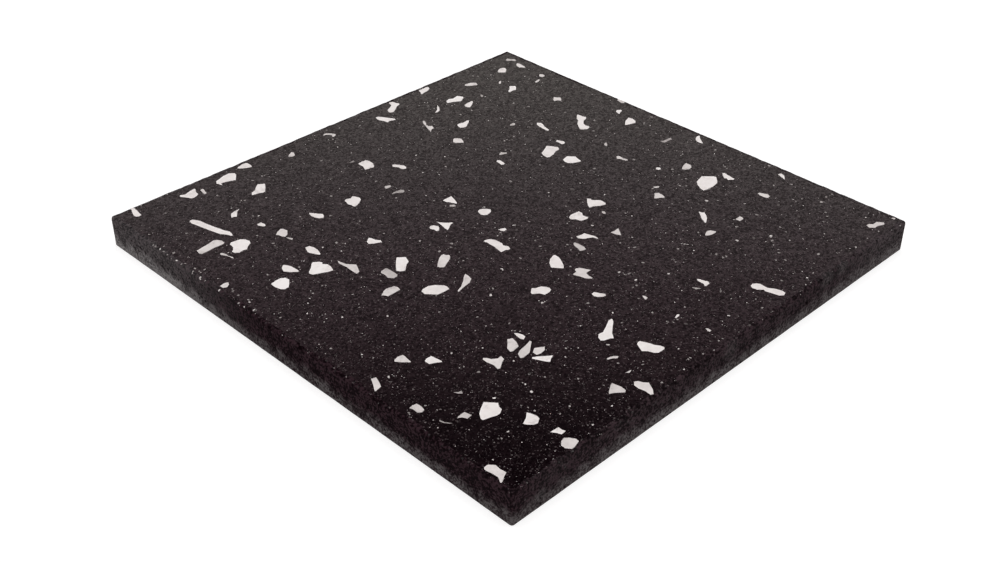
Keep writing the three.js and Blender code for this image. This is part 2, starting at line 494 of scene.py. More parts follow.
        [(78, -66), (78.5, -67.9), (79.6, -69), (78, -71.4), (75.8, -73.9), (71.7, -76.3), (71, -75.8),
         (73.1, -71.7), (75.8, -68.5)],
        [(141.7, -72.2), (144.1, -73.1), (143.3, -76), (139.5, -78.9), (139.8, -77.6), (140.9, -74.7)],
    ],
    "dull": [
        [(122.2, 81.8), (123.3, 79.7), (124.9, 78.3), (123.3, 75.9), (121.6, 74.8), (120.3, 76.4),
         (118.1, 77.8), (118.9, 79.4), (120.8, 81)],
        [(-98.8, 139.9), (-97.9, 139), (-98.6, 136.3), (-99.1, 133.9), (-100.7, 133.6), (-101, 134.7),
         (-100.5, 137.2), (-100.2, 139)],
        [(-129.8, 78.9), (-128.5, 78.9), (-127.7, 76.4), (-127.7, 73.7), (-126.8, 71.6), (-127.4, 70.2),
         (-127.9, 71.6), (-128.2, 73.7), (-129.3, 75.9), (-130.1, 77.5)],
        [(-98.8, 73.5), (-96.4, 75.6), (-93.1, 76.8), (-91.8, 75.6), (-91.3, 72.7), (-93.7, 69.4),
         (-96.1, 68.3), (-97.5, 70), (-97.8, 71.8)],
        [(-12.2, 141.7), (-10.5, 143), (-8.9, 142.5), (-6.7, 140.3), (-5.4, 138.1), (-6.4, 136.7),
         (-8.6, 135.9), (-9.1, 136.7), (-8.3, 138.4), (-9.1, 140), (-10.5, 141.1), (-11.6, 141)],
        [(114.1, 120.9), (114.6, 120.1), (112.4, 118), (111.1, 117.6), (110.8, 118.5), (112.4, 120.1)],
        [(148.9, 52.3), (146.7, 51), (146.1, 48.2), (145.9, 46.5), (147.2, 45.6), (148.9, 46.6)],
        [(109.6, -29.5), (111.8, -28.4), (115.3, -28.1), (115, -32.2), (113.4, -33.8), (110.1, -34.1),
         (107.9, -32.5), (107.4, -30.8)],
        [(80.6, -32.2), (82.8, -33.3), (83.9, -34.4), (82.2, -34.9), (80.3, -33.8)],
        [(-59.2, -136.5), (-57.3, -137.6), (-56.2, -140), (-54.6, -141.9), (-57, -146.4), (-59.7, -149.1),
         (-61.4, -148.3), (-61.1, -144.8), (-61.8, -141.6), (-61.4, -138.4)],
        [(-57, -129.9), (-53.8, -130.3), (-53.3, -130.6), (-55.8, -131.3)],
        [(-4.6, -95.9), (-3.9, -97), (-4.1, -99.2), (-6.3, -99.5), (-6, -98.1)],
        [(-42.5, 135.9), (-40.8, 137.3), (-37.8, 138.8), (-36.8, 137.5), (-37.8, 135.3), (-39.2, 133.6),
         (-41.1, 134), (-42.3, 134.8)],
        [(42.5, 114.8), (43.4, 114), (42.3, 111.3), (40.6, 109.1), (40.6, 107.4), (42.3, 106.1),
         (41.2, 103.1), (38.7, 102.6), (36, 100.4), (37.3, 104), (38.2, 106.6), (39.3, 109.3),
         (40.6, 112.6)],
        [(40.6, 85.9), (42.5, 84.5), (43.6, 82.3), (42.5, 79.3), (41.2, 77.4), (39.5, 78.8), (36.8, 81.5),
         (37, 82.9), (38.7, 84.8)],
        [(93.9, 132.5), (95.7, 132.8), (99.1, 132.2), (101.7, 129.6), (100.8, 127.2), (99.6, 126.3),
         (97.4, 127.7), (94.4, 129.6), (93.3, 131.2)],
        [(139.5, 110.1), (140.8, 108.2), (140.5, 106.6), (139.2, 105.5), (137.3, 105.8), (136.6, 107.4),
         (137.6, 109.3)],
        [(128.7, 104.4), (133, 105.5), (133.8, 104.4), (131.9, 103.4), (128.9, 102.9)],
        [(-91, 32.3), (-90.5, 30.1), (-89.7, 26.8), (-87.5, 24.3), (-86.3, 22.7), (-87.7, 19.5),
         (-89.7, 16.2), (-92.1, 16.2), (-92.1, 19.2), (-91.8, 24.6), (-92.5, 29), (-92.1, 30.9)],
        [(-92.9, -4.6), (-90.2, -3.6), (-85.5, -4.8), (-84.7, -7), (-85.5, -9.8), (-91.8, -10), (-94, -9.8),
         (-94.8, -7.8), (-95.9, -6.7)],
        [(-53.1, -21.5), (-53.1, -24.5), (-53.9, -27.2), (-56.9, -29.1), (-62.3, -30), (-66.7, -31.1),
         (-66.4, -29.7), (-62.3, -28), (-58, -25), (-55.5, -22.8)],
        [(-50.1, -0.6), (-52.5, -1.8), (-55.8, -4.3), (-59.1, -7.3), (-58.5, -9), (-56.6, -10.6),
         (-53.7, -9.1), (-50.2, -7.5), (-48.1, -6), (-47, -4.7), (-47, -3.2), (-48.1, -2.3), (-48.4, -0.9)],
        [(27.7, -46.9), (31, -47.2), (34.3, -46.9), (32.7, -49.4), (29.8, -53), (28.4, -50.3)],
        [(92.4, 5), (94, 4.4), (94, 2.8), (93.5, 0.6), (94.3, -1.9), (93.5, -3.2), (92.1, -2.4), (91.3, 1.1),
         (90.2, 2.8)],
        [(75.9, -36.9), (77.9, -38.5), (77.9, -41), (77, -43.7), (75.7, -44.5), (74.6, -43.2), (71.8, -41.5),
         (71.3, -40.4), (74, -38.5)],
        [(-141.7, -52.8), (-139.1, -53.8), (-140.4, -57.7), (-142, -60.7), (-145.9, -61.3), (-146.3, -60.6),
         (-143.9, -56.7)],
        [(-126, -50.7), (-125, -49.5), (-122.3, -48.8), (-119.5, -49.5), (-119.3, -51), (-120.1, -55.9),
         (-120.9, -56.8), (-122.5, -55), (-125, -52.6)],
        [(-95.1, -76.8), (-93.8, -77.9), (-92.6, -80.3), (-90.5, -81.8), (-87.9, -81.6), (-88.6, -84.7),
         (-91, -85.8), (-95.1, -88.5), (-96.5, -87.6), (-95.8, -84.4), (-96.5, -80.6), (-96.4, -77.9)],
        [(-77.2, -74.6), (-74.3, -75.8), (-75.1, -79.5), (-76.9, -82.8), (-81.8, -83.6), (-83.2, -82.8),
         (-82.3, -79.5), (-79.6, -77.1)],
        [(-70.2, -82.8), (-70, -84.4), (-74.2, -87.6), (-76.9, -89.7), (-81.8, -90.3), (-83.3, -89.3),
         (-81.8, -86), (-79.1, -84.7), (-74.2, -83.8)],
        [(-72.9, -88.1), (-68.4, -90.9), (-70.5, -93.1), (-73.7, -93.6), (-76.1, -92.9), (-76.1, -90.1)],
        [(-146.8, -129.9), (-144.1, -129.6), (-141.7, -132.4), (-142.1, -135.7), (-141.7, -138.9),
         (-144.5, -140.3), (-146.3, -141.5), (-148, -142.2), (-148.7, -141.3), (-147.8, -139.9),
         (-146.9, -138.3), (-147.1, -135.4), (-147.7, -132.6), (-147.7, -131)],
        [(-109.5, -140.5), (-107.7, -141.9), (-106, -144.8), (-106.3, -146.9), (-110.4, -148.3),
         (-112.5, -148.3), (-114.4, -145.8), (-114.4, -143.2), (-112, -141.1)],
        [(-66.7, -130.3), (-65.6, -135.1), (-66.1, -138.4), (-67.7, -139.4), (-71, -136.7), (-74, -134.6),
         (-72.3, -133), (-68.6, -130.8)],
        [(-55.4, -117), (-52.7, -117.3), (-50.8, -118.4), (-49.7, -119.7), (-51.4, -120.6), (-53.3, -118.9),
         (-55.4, -118.1)],
        [(-10.5, -56.7), (-8.1, -57.9), (-6.7, -60.6), (-5.6, -63.6), (-7.2, -63.8), (-9.3, -63.8),
         (-10, -65.8), (-10.2, -69), (-11.3, -69.3), (-13.5, -66.9), (-14.3, -64.1), (-15.7, -60.1),
         (-15.1, -59.3), (-12.4, -59), (-11.9, -57.6)],
        [(-3.9, -134.2), (-3.2, -135.8), (-3.5, -137.5), (-4.9, -137.6), (-5.4, -136.6), (-4.6, -135.3)],
        [(61, -83.6), (63.9, -81.8), (66.1, -81.4), (67.4, -82.5), (68.8, -85.2), (67.1, -86), (63.9, -85.8),
         (61.8, -84.7)],
        [(85.5, -84.7), (89.6, -84.4), (90.3, -85.8), (89.3, -87.6), (85.8, -87.8)],
        [(116.2, -76.8), (117.9, -77.3), (118.7, -79.5), (119.9, -81.4), (118.7, -83.9), (116.2, -84.3),
         (115.2, -82.2), (115.2, -79)],
        [(130.3, -137), (132.5, -137), (134.1, -138.9), (137.3, -138.9), (139.8, -142.1), (138.1, -143.8),
         (134.1, -142.1), (131.4, -142.1), (129.2, -139.4)],
        [(-136.8, 89.7), (-134.1, 90.2), (-128.7, 91), (-125, 92), (-122.8, 91), (-121.4, 88.3),
         (-121.7, 85.6), (-123.3, 84.8), (-128.7, 85.1), (-133.1, 84.7), (-136.6, 84.8), (-137.5, 86.2),
         (-137.1, 88.3)],
        [(-143.3, -80.1), (-140.9, -79.5), (-138.5, -80.1), (-138.2, -83.3), (-139, -86), (-140.9, -86.6),
         (-142.8, -85.2), (-142.7, -82.2)],
    ],
    "grey": [
        [(-96.4, 67.8), (-95.3, 67), (-94.2, 64.6), (-95.4, 63.6), (-96.1, 65.1)],
        [(45.3, 52.8), (46.9, 54.2), (49.1, 54.4), (49.4, 53.1), (50.8, 52), (49.7, 50.7), (47.5, 51.7)],
        [(138.4, 140.1), (141.1, 141.2), (142.2, 138.8), (143.9, 137.4), (143.3, 134.7), (141.6, 134.7),
         (140.8, 136.9), (138.4, 138.2)],
        [(75.3, 73.7), (76.9, 75.1), (79.3, 75.1), (80.1, 74), (78.5, 72.1), (76.6, 72.7)],
        [(99.2, 19.8), (100.9, 20), (99.8, 17.9), (97.6, 16.5), (97.6, 18.7)],
        [(-26, 71.1), (-24.7, 71.9), (-21.9, 70.5), (-22.7, 69), (-24.7, 68.8), (-26.6, 69.2)],
        [(-14.4, 31.1), (-13.3, 32.1), (-11.9, 31.6), (-10.8, 30.6), (-11.6, 28.8), (-13.3, 29.7)],
        [(40.9, -29.5), (41.7, -30.8), (40.9, -32.8), (39.6, -32.6), (39.5, -30.8)],
        [(-82, 9.6), (-78.4, 10.2), (-77.6, 9.4), (-77.5, 1.2), (-78.7, 0.1), (-81.4, -0.2), (-83.6, 2.5),
         (-82.8, 5.5), (-83.1, 8.3)],
        [(6.1, -40.3), (7.4, -40.1), (8.2, -42.5), (8, -47), (6.9, -49.1), (4.9, -48.9), (3, -47.8),
         (4.1, -45.3), (4.7, -42.3)],
        [(-132, -99), (-127.7, -98.7), (-126.8, -102.8), (-130.1, -103.2), (-131.2, -100.9),
         (-133.1, -99.8)],
    ],
    "faint": [
        [(-28.2, 62.4), (-25.8, 63.7), (-23.6, 63.4), (-20.8, 62.9), (-19.9, 61.6), (-20.8, 59.7),
         (-22.5, 59.4), (-24.4, 61), (-26.3, 62.1)],
        [(89.9, 113.4), (91.5, 115.5), (92.4, 115), (91.7, 112.8), (90.4, 112.4)],
        [(-22.2, 106), (-18.7, 106.3), (-18.5, 105.2), (-20.6, 104.7)],
        [(124.4, -1.1), (126.6, -2.1), (132.6, -2.7), (131.5, -4.6), (124.9, -4.3)],
        [(-139.1, -95.2), (-138.5, -97.9), (-136.6, -100.9), (-137.7, -100.1), (-139.3, -97.9),
         (-139.8, -95.8)],
        [(-122, -85.5), (-120.1, -87.1), (-118.5, -87.4), (-119.5, -89.3), (-121.2, -87.9)],
        [(18.3, -108.4), (20, -110.6), (21, -112.6), (19.2, -111.6), (18.3, -111.1)],
    ],
}


chipPlan = []  # the outlines of the chips that were made


def trimmed(outline):  # the outline drawn in by the trim
    corners = [Vector(corner) for corner in outline]
    sides = list(zip(corners, corners[1:] + corners[:1]))
    area = sum(a.x * b.y - b.x * a.y for a, b in sides) / 2
    thickness = 4 * abs(area) / sum((b - a).length for a, b in sides)
    trim = math.copysign(min(marbleChips["trim"] * thickness, marbleChips["widestTrim"]), area)
    drawnIn = []
    for before, here, after in zip(corners[-1:] + corners[:-1], corners, corners[1:] + corners[:1]):
        along = ((here - before).normalized() + (after - here).normalized()).normalized()
        drawnIn.append((here.x - along.y * trim, here.y + along.x * trim))
    return drawnIn


def makeChip(outline, tone, seed):  # a circle bent to the outline, its rim broken up, then drawn down
    across = [x for x, y in outline]
    along = [y for x, y in outline]
    length = max(max(across) - min(across), max(along) - min(along)) * mm
    bpy.ops.mesh.primitive_circle_add(vertices=len(outline), radius=length / 2, fill_type="NGON")
    chip = bpy.context.object
    for vertex, (x, y) in zip(chip.data.vertices, outline):
        vertex.co = (x * mm, y * mm, faceHeight)
    bpy.ops.object.mode_set(mode="EDIT")
    bpy.ops.mesh.select_all(action="SELECT")
    bpy.ops.mesh.subdivide(number_cuts=marbleChips["cuts"], fractal=marbleChips["ragged"],
                           fractal_along_normal=0.0, seed=seed)
    if max(max(abs(x), abs(y)) for x, y in outline) * mm > half - arrisRadius:
        cutAlongArris()
    middle = (sum(across) / len(outline) * mm, sum(along) / len(outline) * mm)
    depth = min(length * marbleChips["depth"], marbleChips["deepest"])
    drawDown(middle, faceHeight, depth, marbleChips["taper"])
    limit = half - marbleChips["clearance"]
    for vertex in chip.data.vertices:
        vertex.co.x = max(-limit, min(limit, vertex.co.x))
        vertex.co.y = max(-limit, min(limit, vertex.co.y))
        if vertex.co.z > faceHeight - hair:
            vertex.co.z = faceHeight - arrisDrop(vertex.co.x, vertex.co.y)
    layer = chip.data.attributes.new("tone", "FLOAT", "POINT")  # how pale it is, read by its material
    layer.data.foreach_set("value", [tone] * len(chip.data.vertices))
    return chip


def cutAlongArris():  # gives a chip at the edge the lines along which it bends down
    for inset in (arrisRadius, arrisRadius / 2):
        for normal in ((1, 0, 0), (-1, 0, 0), (0, 1, 0), (0, -1, 0)):
            bpy.ops.mesh.select_all(action="SELECT")
            bpy.ops.mesh.bisect(plane_co=Vector(normal) * (half - inset), plane_no=normal)


def touchesChip(x, y, radius):  # whether a grain there would lie over a chip; all in mm
    for corners in chipPlan:
        if not (min(a for a, b in corners) - radius < x < max(a for a, b in corners) + radius):
            continue
        if not (min(b for a, b in corners) - radius < y < max(b for a, b in corners) + radius):
            continue
        here = Vector((x, y))
        inside = False
        for first, second in zip(corners, corners[1:] + corners[:1]):
            first, second = Vector(first), Vector(second)
            along = max(0.0, min(1.0, (here - first).dot(second - first) / (second - first).length_squared))
            if (first + (second - first) * along - here).length < radius:
                return True
            if (first.y > y) != (second.y > y):
                if x < first.x + (y - first.y) * (second.x - first.x) / (second.y - first.y):
                    inside = not inside
        if inside:
            return True
    return False


def makeChips():
    chips = []
    rng = random.Random(marbleChips["seed"])
    stray = marbleChips["toneStray"]
    for kind, usualTone in marbleChips["tones"].items():
        for outline in marbleChips[kind]:
            tone = usualTone + rng.uniform(-stray, stray)
            chipPlan.append(trimmed(outline))
            chips.append(makeChip(chipPlan[-1], tone, len(chips) + 1))
    return joinAll(chips, "marble_chips")


# Small stones and grit

bedding = {                     # how the small stones and the grit lie where the edge is worn
    "tries": 5,
    "stepIn": 0.999,            # nearer to the middle at each try
    "lowest": 1.3 * mm,         # below the ground face
    "clearance": 0.02 * mm,     # from the tile's sides
}

smallStones = {
    "usualSize": 1.5,
    "widths": (0.75, 0.98),     # from the narrowest to the widest, as a share of the size
    "slim": (0.5, 0.9),         # the same for the width across that, as a share of it
    "depth": 0.5,               # of a stone's width
    "corners": 8,
    "ragged": 0.11,
    "taper": 0.6,
    "shapeSeeds": range(1, 7),  # one for each shape that is copied
    "smooth": 25,               # degrees
    "seed": 7,
    "tones": {"bright": 0.78, "plain": 0.47, "grey": 0.2},
    "toneStray": (0.85, 1.1),
    "bright": [
        (-14.9, 124.8, 1.6), (11.1, 85.9, 1.6), (5.9, 81.9, 1.2), (-130.6, 6.6, 1.6), (-125.1, 13.1, 1.3),
        (-120.6, -7.4, 2), (-104.6, -21.8, 1.8), (-57.1, -43.8, 2.2), (-88.7, 47, 1.6), (-143.9, 35.5),
        (-144.6, 33.5), (-148.9, 89.2, 1.6), (-149.1, 68.2), (-149, 52.3, 1.7), (-147, 26.3, 2),
        (-148.8, 104.1, 1.3), (-148.7, 32.3, 1.3), (-1.5, 17.6, 1.8), (-3.3, -6.4, 1.7), (26.4, -35.7, 2),
        (-37, -31.3, 1.6), (-135.1, -57.4, 1.8), (-86.7, -88.5), (-95.2, -104.1), (-97, -109.6, 1.6),
        (-111.9, -101.2), (-123.6, -121.4), (-67.7, -103), (-79, -141.1), (-94.5, -143.6),
        (-43.8, -65.9, 1.7), (2.8, -74.7, 1.7), (3.6, -85, 1.8), (19.6, -92.9, 2), (11.9, -135.8, 1.4),
        (-46.8, -110.6, 1.8), (89.9, -62.2, 2.2), (69.2, -98.2, 2), (85.4, -107.9, 2), (66.2, -143.6, 1.7),
        (146.7, -143.6, 2),
    ],
    "plain": [
        (-127.1, 131.8), (-96.7, 127.8), (-73.2, 127.8), (-64.9, 127.8), (-145.1, 119.8), (-90.7, 114.3),
        (-89.2, 113.1), (-106.1, 113.3), (-130.6, 107.1), (-95.7, 97.2), (-78.7, 95.9), (-60.8, 103.4),
        (-146, 95.9, 2), (-146.5, 76.4), (-146.5, 72.9), (-143.6, 72.2), (-130.3, 65.4), (-104.4, 67.9, 1.8),
        (-78.2, 78.9), (-66.2, 68.4), (-52.8, 84.1), (-149.1, 110.1, 1.7), (-148.9, 108, 1.2),
        (-148.8, 100.9, 1.6), (-149.1, 97.2, 1.3), (-149, 84.7, 1.2), (-148.7, 74.9), (-149, 64.2, 1.2),
        (-148.7, 36.8), (-145.1, 46.8), (-139.9, 16.1), (-141.9, 12.9), (-146, 126.1, 1.3),
        (-143.1, 87.7, 1.3), (-147.5, 83.7, 1.2), (-146, 104.8, 1.2), (-13, 135.5), (-10.8, 134),
        (9.1, 124.3, 1.6), (-31.8, 118.8, 1.8), (-13.9, 113.8), (-6.4, 145.5), (-23.6, 85.2), (-24.8, 79.4),
        (45.5, 81.9, 1.2), (106.8, 137.8, 1.6), (108.8, 135.3), (58, 126.8), (128.3, 80.9), (111.8, 62.5, 2),
        (67.4, 62.6), (81.9, 65.2), (62, 62.9), (101.4, 83.4), (54, 101.4), (64.4, 104.8), (72.9, 103.9),
        (-118.1, 17.9), (-110.6, 20.1), (-109.4, 18.9), (-139.6, 16.1), (-140.1, -22.8), (-129.1, -4.4),
        (-52.5, -40.6, 1.7), (-109.6, -6.9), (-96.2, -11.2), (-80.7, 45.5, 2), (-124.1, 46.5), (-144.6, 47),
        (-145.1, 42), (-146.8, 26, 2), (-108.6, 41), (-13.4, -6.7), (28.7, 27.2, 2), (-16.2, 41.5, 1.6),
        (27.5, 17.9), (-41.5, 1.1, 1.8), (-38.8, 3.3, 1.8), (-48.3, 2.3, 1.8), (-48.8, 16.7, 2),
        (-23.4, -31, 1.6), (-5.9, -24.8), (3.1, -39.3, 1.8), (9.4, -36.4), (-7.9, -30.3), (5.4, -9.6),
        (48.5, -39.8), (116.6, 43, 2), (106.3, 34.5), (134.6, 19.4, 2.2), (144.8, 22, 2.5), (72.9, 4.1, 2),
        (62, 18.1), (74.9, -14.9), (103.9, -27.3, 2), (100.9, -39.3), (92.2, -41.8, 1.6), (139.3, -30.3, 2),
        (142.8, -25.8), (127.3, -46.3), (126.8, -48.3), (96.9, -4.7, 1.8), (-145.4, -82.5), (-136.9, -83.9),
        (-68.3, -74.7), (-103.9, -83.2, 1.8), (-105.9, -75.7), (-85.2, -106.6), (-50.8, -146, 1.7),
        (-75.4, -117.9), (-66, -116.9), (-105.9, -116.1), (-128.6, -122.4), (-69.7, -72.7), (-67.4, -66.7),
        (-88.7, -100.2), (-62.7, -98.7), (-93, -62.7, 1), (24, -57.1, 1.8), (26, -65.2, 2), (3.4, -77.9),
        (6.1, -79), (0.1, -88.4, 1.8), (-2.4, -88.2), (18.1, -77.4, 1.8), (41, -81.7, 1.8), (47, -81.2, 2),
        (30.5, -88.7), (-28.3, -81.7), (-29, -103.7), (51, -98.7, 2), (-12.1, -108.6), (25.7, -120.6, 2),
        (-46.8, -131.6, 1.7), (-20.7, -145.8, 1.8), (-28.8, -143.6), (-27.3, -143.6), (28.8, -143.3),
        (-12.9, -118.4, 2), (-4.9, -145.1, 1.6), (-10.7, -54), (-7.9, -120.6, 1.4), (52, -57.8),
        (69.9, -52.4, 2), (94.4, -66.4), (82.9, -55.3), (61, -79.2, 1.8), (79.9, -90, 2), (97.6, -90.2, 2.3),
        (51, -102.9, 2), (53, -103.4, 2), (82.2, -111.1, 2), (96.2, -106.3, 2), (94.4, -111.1),
        (133.8, -106.9, 2.5), (140.1, -105.6, 2), (144.8, -106.1), (126.1, -114.6, 2), (123.3, -117.4),
        (77.4, -118.3), (75.1, -120.3), (88.9, -117.4), (94.9, -121.6), (107.3, -126.3, 1.5),
        (71.7, -126.6, 2), (88.5, -135.2, 2.5), (55, -136.1), (71.9, -143.3), (107.8, -145.2, 2),
        (129.8, -145.1), (128.8, -97.5, 1.8), (124.8, -94.4), (137.8, -84.4, 2), (129.8, -78.2, 2.5),
        (102.2, -78.7), (146.4, -63.2, 2),
    ],
    "grey": [
        (-114.9, 131.1), (-45.8, 127.8, 2), (-40.8, 98.9, 2.3), (62.5, 145.3, 2.5), (67.4, 80.9, 2),
        (125.8, 107.8, 2.5), (-28.3, 32.8, 2), (-5.4, -10.9, 2), (6.1, 36, 1.6), (16.6, -3.9, 2),
        (46.5, -2.9, 3), (61, 46, 2.5), (66.9, 42, 3), (122.1, 19.6, 2.5), (127.8, 19.1, 3),
        (62.9, 5.6, 2.5), (-81.7, -54.3), (-124.1, -77.2, 1.7), (11.1, -83.7), (37, -70.9, 2),
        (16.4, -99.7, 2), (1.4, -102.3), (-7.9, -125.6, 2), (12.8, -147.5, 2), (95.9, -84.7, 2.5),
        (77.4, -103, 2.5), (112.1, -107.2, 2), (114.3, -92.2, 2.5), (108.3, -66, 2),
    ],
}

grit = {
    "count": 10500,
    "smallest": 0.3,            # widths in mm
    "usual": 0.2,               # mean of what comes on top of the smallest
    "largest": 1.1,
    "slim": (0.6, 1.0),
    "depth": 0.5,
    "corners": 5,
    "ragged": 0.16,
    "taper": 0.6,
    "shapeSeeds": range(11, 16),
    "smooth": 25,
    "seed": 19,
    "inset": 0.25 * mm,         # from the tile's sides
    "paleShare": 0.2,           # share of the grains that are pale
    "paleTones": (0.4, 0.85),
    "darkTones": (0.05, 0.34),
}


def makeStoneShapes(stones):  # a few broken grains to copy, 1 m wide and deep, ground flat at z = 0
    shapes = []
    for seed in stones["shapeSeeds"]:
        bpy.ops.mesh.primitive_circle_add(vertices=stones["corners"], radius=0.5, fill_type="NGON")
        shapes.append(bpy.context.object)
        bpy.ops.object.mode_set(mode="EDIT")
        bpy.ops.mesh.select_all(action="SELECT")
        bpy.ops.transform.vertex_random(offset=stones["ragged"], uniform=1.0, normal=0.0, seed=seed)
        drawDown((0, 0), 0, 1, stones["taper"])
    return shapes


def layOn(surface, x, y):  # where a stone at a place lies: its middle, and the turn to the slope there
    flat = Vector((x, y, faceHeight)), Matrix.Identity(3)
    if max(abs(x), abs(y)) < half - castBody["rimWidth"]:
        return flat
    for attempt in range(bedding["tries"]):
        hit, normal = surface.ray_cast(Vector((x, y, 2 * faceHeight)), Vector((0, 0, -1)))[:2]
        if hit and hit.z > faceHeight - bedding["lowest"]:
            slope = Vector((0, 0, 1)).rotation_difference(normal).to_matrix()
            return hit + normal * castBody["groundDrop"], slope
        x, y = x * bedding["stepIn"], y * bedding["stepIn"]
    return flat


def lieAt(x, y, width, tone, stray, stones, rng):  # one stone's place, with its own turn, tone and shape
    return {
        "x": x, "y": y, "width": width, "depth": width * stones["depth"],
        "slim": rng.uniform(*stones["slim"]), "turn": rng.uniform(0, math.tau),
        "tone": tone * rng.uniform(*stray), "shape": rng.randrange(len(stones["shapeSeeds"]))}


def scatter(name, stones, places, surface):  # joins a turned and sized copy of a shape at each place
    shapes = makeStoneShapes(stones)
    corners = [np.array([vertex.co[:] for vertex in shape.data.vertices]) for shape in shapes]
    faces = [[list(face.vertices) for face in shape.data.polygons] for shape in shapes]
    allCorners, allFaces, allTones = [], [], []
    limit = half - bedding["clearance"]
    for place in places:
        shape = place["shape"]
        points = corners[shape] * (place["width"], place["width"] * place["slim"], place["depth"])
        cosine, sine = math.cos(place["turn"]), math.sin(place["turn"])
        x = points[:, 0] * cosine - points[:, 1] * sine
        y = points[:, 0] * sine + points[:, 1] * cosine
        middle, slope = layOn(surface, place["x"], place["y"])
        spots = np.stack([x, y, points[:, 2]], axis=1) @ np.array(slope).T + np.array(middle)
        start = len(allTones)
        allCorners.append(np.clip(spots, (-limit, -limit, 0), (limit, limit, faceHeight)))
        allFaces.extend([[start + corner for corner in face] for face in faces[shape]])
        allTones.extend([place["tone"]] * len(points))
    mesh = bpy.data.meshes.new(name)
    mesh.from_pydata(np.concatenate(allCorners).tolist(), [], allFaces)
    mesh.attributes.new("tone", "FLOAT", "POINT").data.foreach_set("value", allTones)
    piece = bpy.data.objects.new(name, mesh)
    bpy.context.scene.collection.objects.link(piece)
    for shape in shapes:
        bpy.data.objects.remove(shape)
    return piece


def makeSmallStones(surface):
    rng = random.Random(smallStones["seed"])
    places = []
    for kind, tone in smallStones["tones"].items():
        for stone in smallStones[kind]:
            size = stone[2] if len(stone) > 2 else smallStones["usualSize"]
            width = size * mm * rng.uniform(*smallStones["widths"])
            places.append(lieAt(stone[0] * mm, stone[1] * mm, width, tone, smallStones["toneStray"],
                                smallStones, rng))
    return scatter("small_stones", smallStones, places, surface)


def makeGrit(surface):
    rng = random.Random(grit["seed"])
    places = []
    reach = half - grit["inset"]
    while len(places) < grit["count"]:
        width = min(grit["smallest"] + rng.expovariate(1 / grit["usual"]), grit["largest"]) * mm
        tones = grit["paleTones"] if rng.random() < grit["paleShare"] else grit["darkTones"]
        x, y = rng.uniform(-reach, reach), rng.uniform(-reach, reach)
        if not touchesChip(x / mm, y / mm, width / mm / 2):
            places.append(lieAt(x, y, width, 1, tones, grit, rng))
    return scatter("stone_grit", grit, places, surface)


# The stones' finish

marbleFinish = {
    "tones": [                      # how pale a stone is, and its colour
        (0.0, (0.01, 0.006, 0.007)),
        (0.3, (0.11, 0.098, 0.096)),
        (0.62, (0.48, 0.45, 0.44)),
        (0.9, (0.84, 0.805, 0.79)),
        (1.0, (0.93, 0.91, 0.90)),
    ],
    "veinEdge": (0.56, 0.64),       # where a vein starts, and where it is full
    "grain": (0.5 * mm, 2.0, 0.5),
    "grainHeight": 0.01 * mm,
    "roughness": 0.32,
    "cloudRoughness": 0.12,         # on top of that in the clouds
}
chipFinish = {"clouds": (4 * mm, 4.0, 0.6), "cloud": 0.34, "veins": (8 * mm, 5.0, 0.7), "vein": 0.07}
grainFinish = {"clouds": (2 * mm, 4.0, 0.6), "cloud": 0.10, "veins": (4 * mm, 5.0, 0.7), "vein": 0.0}


def makeMarble(name, finish):
    material, shader = newShader(name)
    place = shader.place()
    tone = shader.node("ShaderNodeAttribute", {"attribute_name": "tone"}, output="Fac")
    clouds = shader.noise(place, *finish["clouds"])
    veins = shader.ramp(shader.noise(place, *finish["veins"]), *marbleFinish["veinEdge"])
    shade = tone - (clouds - 0.5) * finish["cloud"] - veins * finish["vein"]
    shader.surface({
        "Base Color": shader.node("ShaderNodeValToRGB", {"stops": marbleFinish["tones"]}, {"Fac": shade}),
        "Roughness": marbleFinish["roughness"] + clouds * marbleFinish["cloudRoughness"],
        "Normal": shader.bump(shader.noise(place, *marbleFinish["grain"]), marbleFinish["grainHeight"]),
    })
    return material


# Cement body

